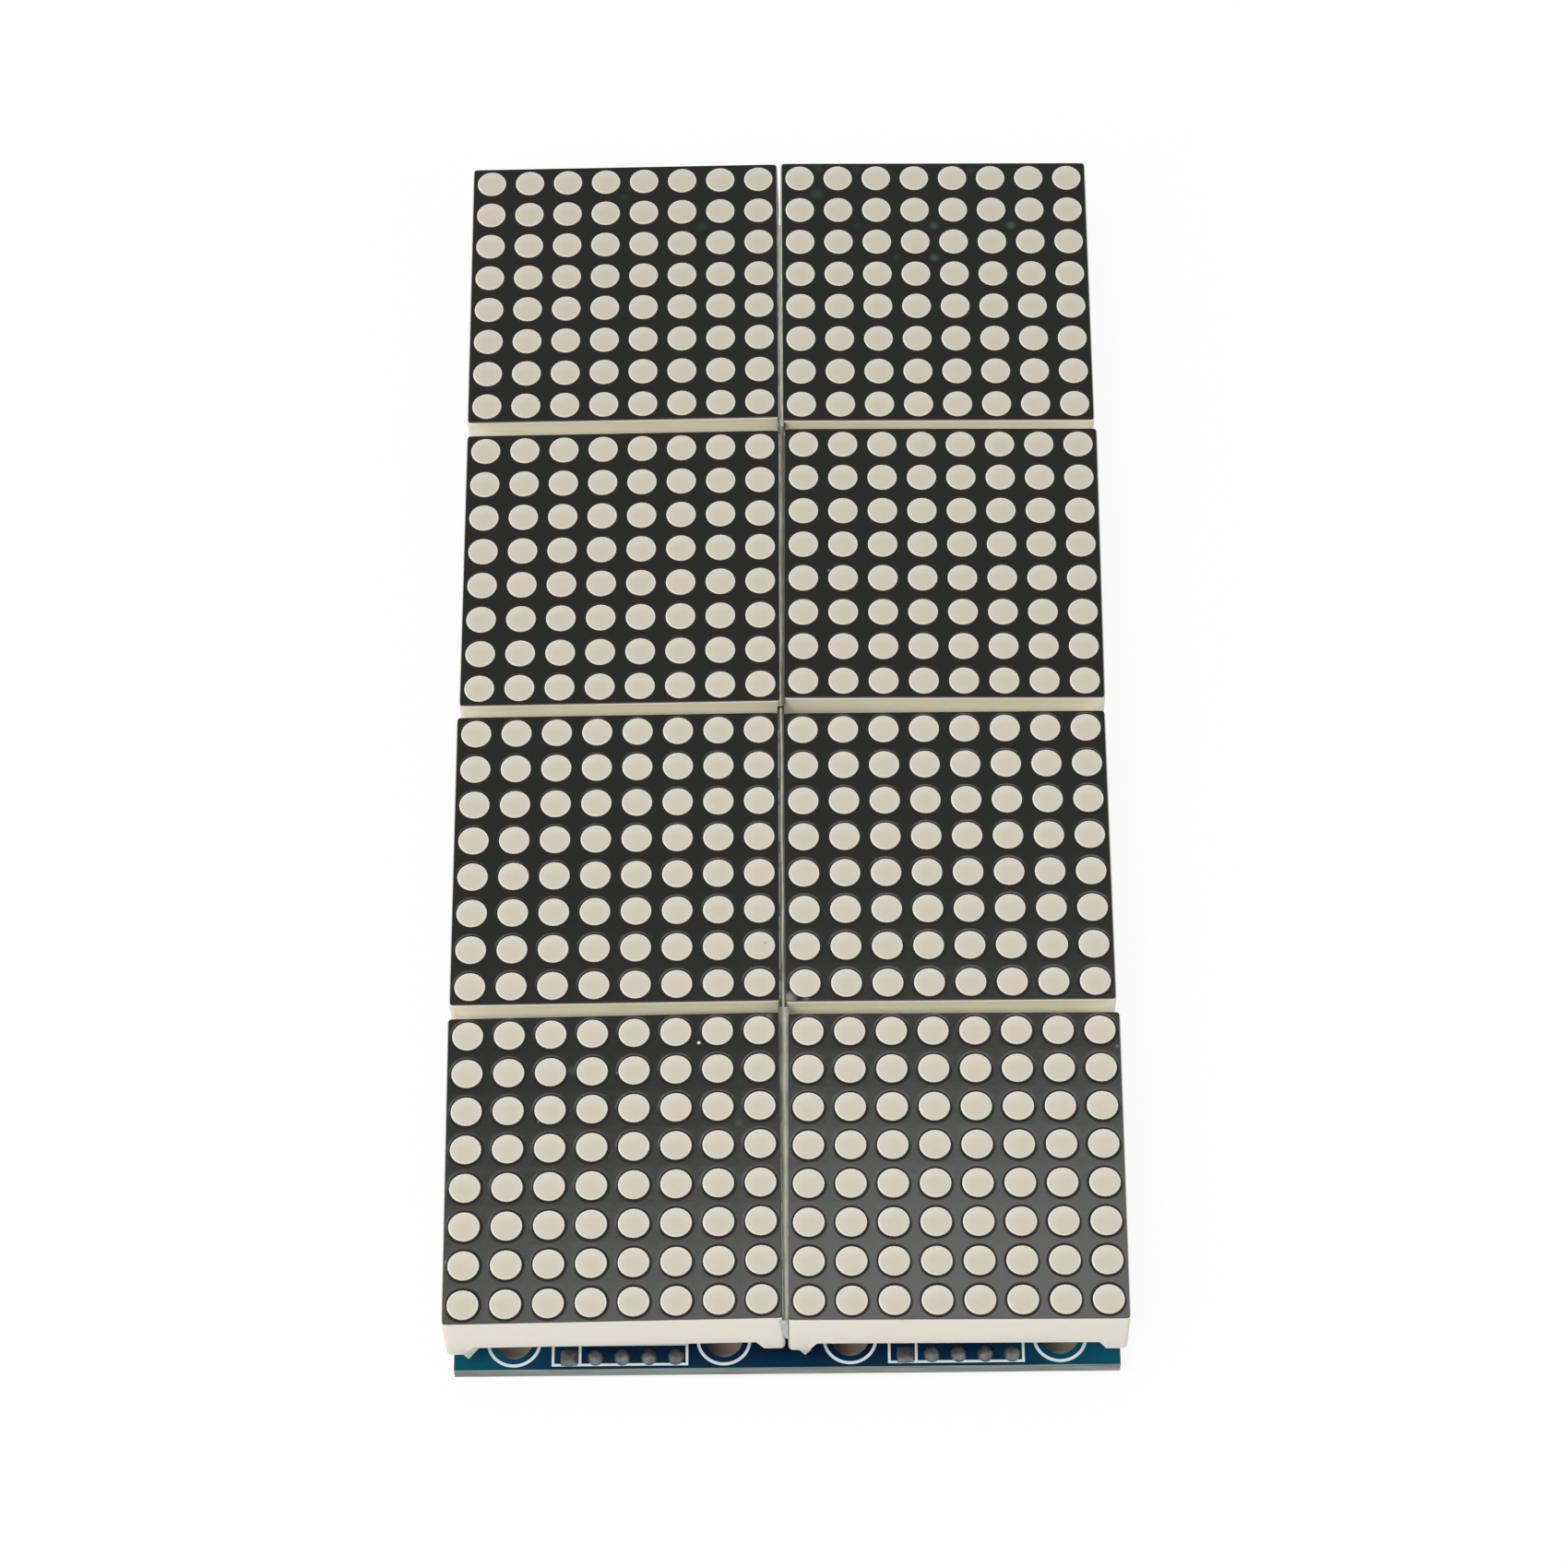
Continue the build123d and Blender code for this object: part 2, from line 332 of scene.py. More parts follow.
# Streaks: noise on coordinates that are pressed together in one direction and drawn out in another
streaks, given, out = new_group("drawn_streaks", [("Vector", VECTOR, None), ("Stretch", VECTOR, (1, 1, 1)),
                                                  ("Low", FLOAT, 0.4), ("High", FLOAT, 0.65)], ("Mask", FLOAT))
drawn = add_node(streaks, "ShaderNodeVectorMath", {0: given["Vector"], 1: given["Stretch"]}, operation="MULTIPLY")
lines = add_node(streaks, "ShaderNodeTexNoise", {"Vector": drawn.outputs[0], "Scale": 1.0, "Detail": 3.0,
                                                 "Roughness": 0.65})
streaks.links.new(ramp(lines.outputs["Fac"], given["Low"], given["High"], kind="SMOOTHSTEP"), out["Mask"])
print("groups", [g.name for g in bpy.data.node_groups])


# %% [markdown]
# ## A finish in one call
# Most pieces are one stuff whose colour drifts a little and whose surface has a fine relief. The
# special finishes start from this too, and lay one more colour over it wherever a mask is high.


# %% Plain finishes
def use(group, place, **values):
    """Places a node group that reads the given vector, with its own values."""
    inputs = {key.replace("_", " "): value for key, value in values.items()}
    return add_node(place.id_data, "ShaderNodeGroup", {"Vector": place, **inputs}, node_tree=group).outputs[0]


def lay_over(material, colour, mask):
    """Lays one more colour over a finish's base colour where a mask is high."""
    tree = material.node_tree
    base = tree.nodes["Principled BSDF"].inputs["Base Color"]
    over = add_node(tree, "ShaderNodeMix", {"A": base.links[0].from_socket, "B": (*colour, 1), "Factor": mask},
                    data_type="RGBA")
    tree.links.new(over.outputs["Result"], base)


def finish(name, colour, second, roughness, drift_scale=150.0, relief_scale=(400.0, 4000.0), bump=0.1,
           bump_depth=0.02, metallic=0.0):
    """A Principled material whose colour drifts between two tones, with a noise relief in mm."""
    material = bpy.data.materials.new(name)
    material.use_nodes = True
    tree = material.node_tree
    shader = tree.nodes["Principled BSDF"]
    shader.inputs["Roughness"].default_value = roughness
    shader.inputs["Metallic"].default_value = metallic
    place = add_node(tree, "ShaderNodeTexCoord").outputs["Object"]
    colours = use(drift, place, Scale=drift_scale, Colour_A=(*colour, 1), Colour_B=(*second, 1))
    height = use(relief, place, Coarse=relief_scale[0], Fine=relief_scale[1])
    dents = add_node(tree, "ShaderNodeBump", {"Strength": bump, "Distance": bump_depth * MM, "Height": height})
    tree.links.new(dents.outputs["Normal"], shader.inputs["Normal"])
    tree.links.new(colours, shader.inputs["Base Color"])
    return material


def place_of(material):
    """The vector of a finish's own object coordinates."""
    return material.node_tree.nodes["Texture Coordinate"].outputs["Object"]


def axes_of(material):
    """The x, y and z of a finish's own object coordinates."""
    return add_node(material.node_tree, "ShaderNodeSeparateXYZ", {0: place_of(material)}).outputs[:]


def kept_value(material, name, output="Fac"):
    """What the mesh keeps for each of its points under a name."""
    return add_node(material.node_tree, "ShaderNodeAttribute", attribute_name=name).outputs[output]


CHIP_BOARD = finish("potted_board", (0.62, 0.58, 0.47), (0.55, 0.50, 0.40), 0.35)
TIN = finish("tinned_metal", (0.72, 0.71, 0.69), (0.62, 0.61, 0.60), 0.32, metallic=1.0)
GOLD = finish("gold_flash", (0.83, 0.62, 0.25), (0.76, 0.55, 0.22), 0.28, metallic=1.0)
SOLDER = finish("solder", (0.25, 0.255, 0.255), (0.09, 0.095, 0.10), 0.38, 1400.0, (1500.0, 6000.0), 0.9, 0.08,
                metallic=0.7)
SOCKET_BLACK = finish("socket_plastic", (0.022, 0.022, 0.023), (0.03, 0.03, 0.03), 0.45)
EPOXY = finish("chip_epoxy", (0.028, 0.028, 0.030), (0.04, 0.04, 0.041), 0.6, relief_scale=(900.0, 9000.0), bump=0.4)
CERAMIC = finish("tan_ceramic", (0.42, 0.29, 0.17), (0.36, 0.25, 0.15), 0.5)
AMBER = finish("amber_body", (0.60, 0.34, 0.05), (0.54, 0.30, 0.04), 0.4)
RESISTOR = finish("resistor_black", (0.03, 0.03, 0.035), (0.05, 0.05, 0.055), 0.5)
PRINT = finish("white_print", (0.75, 0.81, 0.83), (0.65, 0.71, 0.73), 0.55, 900.0)
print("plain finishes", len(bpy.data.materials))

# %% [markdown]
# ## Ivory plastic
# The cases are moulded in a pale plastic that lets a little light through, so the finish has some
# scattering under the surface, redder than blue. Flow marks run along the walls as faint streaks,
# and a few specks of dirt sit on them. In the gaps between the rows the walls get painted light:
# deep down they are painted paler and yellower, less so near the top, and they are streaked along
# the gap. The gaps repeat at the modules' pitch, so a ping-pong of the coordinate finds them.

# %% Case finish
ROW_PITCH = 33.3
GAP_FADE = (0.85, 1.0)  # the walls with painted light lie within this of the middle of a gap
SIDE_FADE = (30.8, 31.8)  # the outer sides of the cases get no painted light
GAPS_END = 60.0  # and neither do the two ends
TOP_FADE = (10.6, 12.5)
MIDDLE_ROW_HALF = 15.5
SEAM_RIM = (0.40, 0.38)  # the rim's middle and half its width

IVORY = finish("ivory_plastic", (0.768, 0.717, 0.640), (0.748, 0.692, 0.608), 0.40, 60.0, (250.0, 2500.0), 0.2, 0.03)
ivory_shader = IVORY.node_tree.nodes["Principled BSDF"]
ivory_shader.inputs["Subsurface Weight"].default_value = 0.5
ivory_shader.inputs["Subsurface Radius"].default_value = (1.0, 0.75, 0.45)
ivory_shader.inputs["Subsurface Scale"].default_value = 1.2 * MM
lay_over(IVORY, (0.66, 0.60, 0.48),
         use(streaks, place_of(IVORY), Stretch=(110.0, 500.0, 2600.0), Low=0.56, High=1.0))

ivory_x, ivory_y, ivory_z = axes_of(IVORY)
near_gap = ramp(maths("PINGPONG", ivory_y, ROW_PITCH / 2 * MM), GAP_FADE[0] * MM, GAP_FADE[1] * MM, 1.0, 0.0)
along_board = maths("ABSOLUTE", ivory_y)
not_end = maths("LESS_THAN", along_board, GAPS_END * MM)
not_side = ramp(maths("ABSOLUTE", ivory_x), SIDE_FADE[0] * MM, SIDE_FADE[1] * MM, 1.0, 0.0)
in_gap = maths("MULTIPLY", near_gap, maths("MULTIPLY", not_side, not_end))
gap_lines = use(streaks, place_of(IVORY), Stretch=(90.0, 700.0, 2200.0), Low=0.50, High=0.85)
# Painted light: deep in the gaps the walls are painted paler and yellower
lay_over(IVORY, (0.965, 0.920, 0.800), in_gap)

# Near the top of a gap the painted light fades, so the wall is darker there
near_top = ramp(ivory_z, TOP_FADE[0] * MM, TOP_FADE[1] * MM)
lay_over(IVORY, (0.765, 0.710, 0.560), maths("MULTIPLY", near_top, in_gap))
lay_over(IVORY, (0.70, 0.62, 0.44), maths("MULTIPLY", in_gap, gap_lines))

# In the two middle rows the rim on the right of the seam is darkened
middle_rows = maths("COMPARE", along_board, ROW_PITCH / 2 * MM, MIDDLE_ROW_HALF * MM)
seam_rim = maths("COMPARE", ivory_x, SEAM_RIM[0] * MM, SEAM_RIM[1] * MM)
lay_over(IVORY, (0.13, 0.12, 0.10), maths("MULTIPLY", middle_rows, seam_rim))
lay_over(IVORY, (0.12, 0.10, 0.08), use(specks, place_of(IVORY), Scale=330.0, Size=0.055, Share=0.07))

# %% [markdown]
# ## Black film
# The film is almost black, so all its life comes from what it mirrors. It mirrors weakly, because
# its surface is a soft lacquer, and it is a little wavy. Here and there between the dots the
# lacquer has dull spots, and a few crumbs of dirt lie on the board. Each is a soft or a hard spot
# laid over the finish, at its place on a module.

# %% Film finish
FILM = finish("black_film", (0.0048, 0.0050, 0.0024), (0.0038, 0.0040, 0.0020), 0.13, 80.0, (170.0, 1100.0), 0.45,
              0.03)
film_shader = FILM.node_tree.nodes["Principled BSDF"]
film_shader.inputs["Specular IOR Level"].default_value = 0.25


def spots(material, places):
    """A mask of round spots, each given as module, place on its face, radius in mm and strength."""
    total = None
    for module, spot_x, spot_y, radius, strength in places:
        middle = tuple(seated([(spot_x, spot_y, 0.0)], module)[0] * MM)
        distance = add_node(material.node_tree, "ShaderNodeVectorMath", {0: place_of(material), 1: middle},
                            operation="DISTANCE").outputs["Value"]
        fade = ramp(distance, 0.0, radius * MM, strength, 0.0, "SMOOTHSTEP")
        total = fade if total is None else maths("ADD", total, fade)
    return total


# Dull spots, then pale crumbs and smudges
DULL_SPOTS = (
    ("right_4", 0.0, 8.0, 0.75, 0.7), ("right_4", 8.0, 8.0, 0.75, 0.8), ("right_4", 0.0, 4.0, 0.75, 0.7),
    ("right_4", -4.0, 4.0, 0.6, 0.25), ("right_4", -12.2, 12.0, 1.1, 0.35), ("right_4", -8.0, 8.0, 0.6, 0.2),
    ("right_4", -12.0, 15.2, 0.8, 0.25), ("right_4", 4.0, 15.0, 0.8, 0.2), ("right_4", -8.0, 15.0, 0.8, 0.2),
    ("left_4", 8.0, 8.0, 0.8, 0.25), ("right_3", -15.0, 14.6, 0.9, 0.35), ("left_4", 0.0, 12.0, 0.8, 0.15),
)
PALE_SPOTS = (
    ("left_1", 8.21, 12.79, 0.22, 2.2), ("right_2", -15.5, -15.5, 0.9, 0.30), ("right_2", -13.9, -15.6, 0.5, 0.16),
    ("left_1", 15.0, 15.5, 0.5, 0.12), ("right_1", 15.6, 12.2, 0.3, 0.14), ("left_1", -15.6, -9.6, 0.3, 0.14),
    ("right_1", -13.4, 14.2, 0.5, 0.06), ("right_1", -9.0, 14.6, 0.6, 0.06), ("right_1", 1.2, 14.0, 0.6, 0.05),
    ("left_1", 0.4, 9.8, 0.16, 0.5), ("left_1", -4.0, 10.1, 0.7, 0.05), ("left_1", 12.0, 4.2, 0.6, 0.05),
)
lay_over(FILM, (0.066, 0.078, 0.074), spots(FILM, DULL_SPOTS))
lay_over(FILM, (0.75, 0.72, 0.70), spots(FILM, PALE_SPOTS))
lay_over(FILM, (0.16, 0.16, 0.15), use(specks, place_of(FILM), Scale=210.0, Size=0.035, Share=0.10))

# The film's rolled edge is thin enough to look grey
lay_over(FILM, (0.105, 0.10, 0.115), kept_value(FILM, "thin_edge"))

# Right against each dot the film is made rougher and painted brown
dot_ring_mask = ramp(kept_value(FILM, "at_dot"), 0.6, 0.95)
FILM.node_tree.links.new(ramp(dot_ring_mask, 0.0, 1.0, 0.13, 0.75), film_shader.inputs["Roughness"])
lay_over(FILM, (0.016, 0.010, 0.006), dot_ring_mask)
print("dull spots", len(DULL_SPOTS))

# %% [markdown]
# ## Resin of the dots
# The resin is a pale, cloudy stuff, a little darker over the LED in the middle of a dot. It is
# painted paler towards the far left side and darker towards the near right side, painted light and
# painted shade, and a painted highlight makes a thin bright rim at the edge. The mesh keeps for each
# point its place in its own dot, so the rim is found by the length of that vector and the sides by
# its direction.

# %% Dot finish
DOT = finish("dot_resin", (0.605, 0.535, 0.445), (0.550, 0.528, 0.415), 0.42, 210.0, (500.0, 4000.0), 0.12, 0.02)
dot_place = kept_value(DOT, "in_dot", "Vector")
dot_reach = add_node(DOT.node_tree, "ShaderNodeVectorMath", {0: dot_place}, operation="LENGTH").outputs["Value"]
dot_toward_light = add_node(DOT.node_tree, "ShaderNodeVectorMath", {0: dot_place, 1: (-0.25, 0.97, 0.0)},
                    operation="DOT_PRODUCT").outputs["Value"]
lay_over(DOT, (0.625, 0.590, 0.520), ramp(dot_reach, 0.3, 0.9, 0.0, 0.6, "SMOOTHSTEP"))
# Painted light: paler towards the far left side
lay_over(DOT, (0.680, 0.650, 0.590), ramp(dot_toward_light, 0.15, 0.95, 0.0, 0.65))
# Painted highlight: a thin bright rim at the dot's edge
lay_over(DOT, (0.860, 0.835, 0.765), ramp(dot_reach, 0.88, 0.94))
# Painted shade: darker towards the near right side
lay_over(DOT, (0.540, 0.500, 0.410), ramp(dot_toward_light, -0.15, -0.9, 0.0, 0.62))
DIRT_SPOTS = (("left_2", 14.53, -9.73, 0.14, 2.5), ("right_2", 0.71, 5.02, 0.16, 2.5))
lay_over(DOT, (0.16, 0.08, 0.04), spots(DOT, DIRT_SPOTS))

# %% [markdown]
# ## Face of a module
# The film is a sheet with 64 round windows. Around each window the points lie on rays from its
# middle: at the rim, on two rings just outside it, and on the edge of the window's square. The rays
# crowd at the diagonals, so that the module's rounded corners come out round. The film dips a hair
# towards each dot, which shades it there, and the resin dot stands above it as a low crown.

# %% Film and dots
DOT_PITCH = 4.0
DOTS = 8
FILM_HALF = 15.85
FILM_CORNER = 0.3
WINDOW_RADIUS = 1.50
DOT_RING_WIDTH = 0.05
DIP_WIDTH = 0.34
CORNER_FAN = 5.0

even_rays = np.arange(0.0, 360.0, 15.0)
diagonals = np.arange(45.0, 360.0, 90.0)
rays = np.radians(np.sort(np.concatenate([even_rays, diagonals - CORNER_FAN, diagonals + CORNER_FAN])))
window = np.stack([np.cos(rays), np.sin(rays)], -1)
square = window / np.abs(window).max(1, keepdims=True) * DOT_PITCH / 2
grid = (np.arange(DOTS) - (DOTS - 1) / 2) * DOT_PITCH
dot_centres = np.stack([*np.meshgrid(grid, grid), np.zeros((DOTS, DOTS))], -1).reshape(-1, 3)


def level(flat, height):
    """Flat points with one height."""
    return np.column_stack([flat, np.full(len(flat), height)])


def round_corners(flat, half, radius):
    """Keeps points inside a rounded square: past the straight sides they move to the corner's arc."""
    kept = flat.clip(-half, half)
    arc_centre = np.sign(kept) * (half - radius)
    past = kept - arc_centre
    in_corner = (np.abs(kept) > half - radius).all(1)
    length = np.linalg.norm(past, axis=1, keepdims=True).clip(1e-9)
    return np.where(in_corner[:, None] & (length > radius), arc_centre + past * radius / length, kept)


dip = ((WINDOW_RADIUS, -0.02), (WINDOW_RADIUS + DOT_RING_WIDTH, -0.0025), (WINDOW_RADIUS + DIP_WIDTH, 0.0))
cell = np.concatenate([level(window * radius, height) for radius, height in dip] + [level(square, 0.0)])
film_points, film_faces = repeat(cell, quads(len(dip) + 1, len(rays), wrap_columns=True), dot_centres)
clipped = film_points[:, :2].clip(-FILM_HALF, FILM_HALF)
on_edge = np.isclose(np.abs(clipped).max(1), FILM_HALF)
film_points[:, :2] = round_corners(clipped, FILM_HALF, FILM_CORNER)

# The film's own edge: the points round the sheet, rolled over the rim of the case
edge_loop = np.unique(film_points[on_edge, :2].round(6), axis=0)
edge_loop = edge_loop[np.argsort(np.arctan2(edge_loop[:, 1], edge_loop[:, 0]))]
edge_rings = [level(edge_loop * (1 + roll / FILM_HALF), height)
              for roll, height in ((0.0, 0.0), (0.03, -0.02), (0.05, -0.06), (0.05, -0.165), (-0.05, -0.17))]
edge_points, edge_faces = tube(edge_rings, close=False)

# Crown of a dot: four rings and a flat middle
DOT_STEPS = 24
dot_rays = 2 * np.pi * np.arange(DOT_STEPS) / DOT_STEPS
dot_circle = np.stack([np.cos(dot_rays), np.sin(dot_rays)], -1)
dot_rings = [level(dot_circle * radius, height)
             for radius, height in ((1.25, 0.068), (1.42, 0.066), (1.485, 0.035), (1.50, -0.05))]
dot_points, dot_faces = tube(dot_rings, close=False)
dot_faces.append(list(range(DOT_STEPS)))
dots_points, dots_faces = repeat(dot_points, dot_faces, dot_centres)
in_dot = np.tile(dot_points * [1, 1, 0] / WINDOW_RADIUS, (len(dot_centres), 1))
print("film", len(film_faces) + len(edge_faces), "faces, dots", len(dots_faces), "faces in each module")

face_points, face_faces = join((film_points, film_faces), (edge_points, edge_faces))
for place in PLACES:
    film = piece(f"black_film_{place}", seated(face_points, place), face_faces, FILM,
                 [f"face_film_{place}"], crisp=25)
    spot = np.empty(len(film.data.vertices) * 3)
    film.data.vertices.foreach_get("co", spot)
    centre, directions = seats[place]
    local = (spot.reshape(-1, 3) / MM - centre) @ directions.T
    thin = (np.abs(local[:, :2]).max(1) > FILM_HALF + 0.02) | (local[:, 2] < -0.15)
    film.data.attributes.new("thin_edge", "FLOAT", "POINT").data.foreach_set("value", thin.astype(float))
    from_dot = np.linalg.norm(local[:, :2] % DOT_PITCH - DOT_PITCH / 2, axis=1)
    near_dot_ring = from_dot < WINDOW_RADIUS + DOT_RING_WIDTH + 0.02
    film.data.attributes.new("at_dot", "FLOAT", "POINT").data.foreach_set("value", near_dot_ring.astype(float))
    dots = piece(f"resin_dots_{place}", seated(dots_points, place), dots_faces, DOT,
                 [f"dot_lenses_{place}"], crisp=70, weld=False)
    dots.data.attributes.new("in_dot", "FLOAT_VECTOR", "POINT").data.foreach_set("vector", in_dot.ravel())

# %% [markdown]
# ## Reflector case
# The case is a tub turned over: four walls, a front and a foot under each corner. Its surface is a
# profile carried round a rounded square. The profile runs from under the film, over the rim, down
# the wall, under its edge and up inside. The wall's lower edge drops to form the feet, so its
# height is a function of how far a point is from the nearest corner.

# %% Cases
CASE_HALF = 16.0
CASE_ROUND = 0.45
WALL_DEPTH = 5.6
FOOT_HEIGHT = 1.5
FOOT_WIDTH = 2.0
FOOT_FLARE = 0.7
CASE_WALL = 1.0
RECESS_FLOOR = 3.5

breaks = CASE_HALF - np.array([CASE_ROUND, FOOT_WIDTH - 0.05, FOOT_WIDTH + 0.05, FOOT_WIDTH + FOOT_FLARE - 0.05,
                               FOOT_WIDTH + FOOT_FLARE + 0.05, 6.0, 10.0])
straight = np.concatenate([-breaks, [0.0], breaks[::-1]])
bend = np.linspace(0, np.pi / 2, 7)[1:-1]


def outline(inset):
    """Points round a rounded square drawn in by the inset; the corner's arc shrinks to nothing inside."""
    half = CASE_HALF - inset
    radius = max(CASE_ROUND - inset, 0.02)
    run = straight.clip(-half + radius, half - radius)
    one_side = np.column_stack([np.full(len(run), half), run])
    arc = half - radius + radius * np.column_stack([np.cos(bend), np.sin(bend)])
    corner_side = np.concatenate([one_side, arc])
    return np.concatenate([corner_side @ np.array([[c, s], [-s, c]]) for c, s in ((1, 0), (0, 1), (-1, 0), (0, -1))])


def lower_edge(points):
    """Height of the wall's lower edge: a foot near each corner, a slope, and the plain edge between."""
    from_corner = CASE_HALF - np.abs(points).min(1)
    slope = ((from_corner - FOOT_WIDTH) / FOOT_FLARE).clip(0, 1)
    return -WALL_DEPTH - FOOT_HEIGHT * (1 - slope)


outer = outline(0.0)
foot_line = lower_edge(outer)
case_rings = [level(outline(inset), height) for inset, height in (
    (0.5, -0.16), (0.12, -0.16), (0.05, -0.175), (0.012, -0.215), (0.0, -0.29), (0.0, -1.9), (0.0, -3.7))]
case_rings += [np.column_stack([outline(inset), foot_line + lift]) for inset, lift in (
    (0.0, 0.06), (0.02, 0.015), (0.06, 0.0), (CASE_WALL - 0.06, 0.0), (CASE_WALL, 0.05))]
case_rings.append(level(outline(CASE_WALL), -RECESS_FLOOR))
case_points, case_faces = tube(case_rings)
for place in PLACES:
    piece(f"ivory_case_{place}", seated(case_points, place), case_faces, IVORY,
          [f"reflector_case_{place}"], crisp=32)
print("case", len(case_faces), "faces")

# %% [markdown]
# ## Resin that ran over
# The dots are cast from behind, and some resin has run over the cases. It fills the seam between
# the two columns with a glassy, greenish line, and thin flakes of it hang at the near feet and in
# the near end of the seam. The fill is a cross-section carried along the seam: its ends rest on
# the two rims and its middle sags by a wavy amount.

# %% Seam fill and flakes
RESIN = finish("run_over_resin", (0.315, 0.312, 0.250), (0.220, 0.215, 0.178), 0.3, 500.0, (700.0, 3000.0), 0.4, 0.05)
# Painted shade on the sides of the seam, and a painted highlight along it, from the points' values
lay_over(RESIN, (0.075, 0.064, 0.050), kept_value(RESIN, "shade"))
lay_over(RESIN, (0.64, 0.63, 0.53), kept_value(RESIN, "pale"))
lay_over(RESIN, (0.13, 0.13, 0.115),
         use(streaks, place_of(RESIN), Stretch=(3000.0, 140.0, 300.0), Low=0.56, High=0.72))

SEAM_STEPS = 90
SEAM_SAG = 0.22
SEAM_THICKNESS = 0.25
SEAM_NARROWING = 0.45
# For each row: where across the seam its painted highlight lies, half the highlight's width, how
# pale it is, and how dark the painted shade is on the highlight's left and right
SEAM_STRANDS = ((0.58, 0.19, 0.4, 0.6, 0.15), (0.57, 0.11, 0.7, 1.0, 1.0), (0.27, 0.18, 0.45, 0.5, 1.0),
                (0.60, 0.36, 0.5, 0.5, 0.3))
SEAM_OPEN = 8.3  # the last row's fill ends here, and the gap is open beyond
seam_across = np.linspace(0, 1, 17)
seam_parts = []
seam_shade = []
seam_highlight = []
for row, (strand, strand_width, highlight_strength, dark_left, dark_right) in zip(ROWS, SEAM_STRANDS):
    seam_start = -15.9 if row == ROWS[0] else -ROW_PITCH / 2
    seam_end = SEAM_OPEN if row == ROWS[-1] else ROW_PITCH / 2
    seam_along = np.linspace(seam_start, seam_end, SEAM_STEPS)
    left_rim, right_rim = (seated(np.column_stack([np.full(SEAM_STEPS, x), seam_along, np.full(SEAM_STEPS, -0.05)]),
                                  f"{side}_{row}")
                           for side, x in (("left", FILM_HALF - 0.02), ("right", 0.02 - FILM_HALF)))
    wave = 1 + 0.35 * np.sin(seam_along * 0.9 + 2.1 * row) + 0.25 * np.sin(seam_along * 2.7 + row)
    top = left_rim[:, None] + (right_rim - left_rim)[:, None] * seam_across[None, :, None]
    top[:, :, 2] -= SEAM_SAG * wave[:, None] * np.sin(np.pi * seam_across)[None] ** 0.7
    under = top[:, ::-1].copy()
    under[:, :, 2] -= SEAM_THICKNESS
    middle_line = under[:, :, 0].mean(1, keepdims=True)
    under[:, :, 0] = middle_line + (under[:, :, 0] - middle_line) * SEAM_NARROWING
    seam_parts.append(tube(np.concatenate([top, under], axis=1)))
    wander = strand + 0.05 * np.sin(seam_along * 0.45 + 1.7 * row)
    from_strand = (seam_across[None] - wander[:, None]) / strand_width
    from_strand = np.concatenate([from_strand, from_strand[:, ::-1]], axis=1)
    darkness = np.where(from_strand < 0, dark_left, dark_right)
    seam_shade.append(darkness * (np.abs(from_strand) - 0.8).clip(0, 1))
    seam_highlight.append(highlight_strength * (1 - np.abs(from_strand)).clip(0))
seam_points, seam_faces = join(*seam_parts)
seam = piece("seam_resin", seam_points, seam_faces, RESIN, crisp=50, weld=False)
for name, values in (("shade", seam_shade), ("pale", seam_highlight)):
    seam.data.attributes.new(name, "FLOAT", "POINT").data.foreach_set("value", np.concatenate(values).ravel())

FLAKES = (
    ("left_1", ((-14.45, -7.0), (-14.01, -8.06), (-12.85, -5.55), (-13.35, -5.55)), -16.02, 0.12),
    ("right_1", ((-15.0, -7.05), (-14.42, -8.25), (-13.85, -7.05)), -16.0, 0.12),
    ("right_1", ((-16.0, -0.25), (-16.85, -0.45), (-16.62, -1.6), (-16.5, -3.2), (-16.22, -4.5), (-16.0, -4.6)),
     -15.9, 0.10),
)
flake_parts = []
for place, corners, front, thickness in FLAKES:
    rim = np.array(corners)
    rings = [np.column_stack([rim[:, 0], np.full(len(rim), front + back), rim[:, 1]]) for back in (0.0, thickness)]
    points, faces = tube(rings)
    flake_parts.append((seated(points, place), faces))
flake_points, flake_faces = join(*flake_parts)
FLAKE = finish("resin_flake", (0.50, 0.51, 0.46), (0.30, 0.32, 0.27), 0.25, 1500.0, (1200.0, 4000.0), 0.6, 0.08)
piece("resin_flakes", flake_points, flake_faces, FLAKE, crisp=20)
print("seam", len(seam_faces), "faces, flakes", len(FLAKES))

# %% [markdown]
# ## Circuit board
# The board keeps its imported shape, which has the true holes. Its finish looks at which way a face
# points: the two broad faces wear a glossy navy solder mask, painted lighter and more of a teal
# towards the outer edges as painted light, and the edges and hole walls show bare fibreglass in layers.

# %% Board finish
TEAL_START = (17.0, 64.4)  # across and along the board
EDGE_SKIN = 0.4

BOARD = finish("blue_board", (0.0040, 0.0165, 0.045), (0.0036, 0.0135, 0.036), 0.20, 60.0, (700.0, 3000.0), 0.15, 0.03)
board_tree = BOARD.node_tree
board_shader = board_tree.nodes["Principled BSDF"]
board_shader.inputs["Specular IOR Level"].default_value = 0.05
board_side, board_end = (maths("ABSOLUTE", axis) for axis in axes_of(BOARD)[:2])
# Painted light: the mask turns teal towards the outer sides and ends
side_teal = ramp(board_side, TEAL_START[0] * MM, BOARD_HALF[0] * MM, kind="SMOOTHSTEP")
end_teal = ramp(board_end, TEAL_START[1] * MM, BOARD_HALF[1] * MM, end=0.28)
lay_over(BOARD, (0.004, 0.075, 0.125), maths("MAXIMUM", side_teal, end_teal))

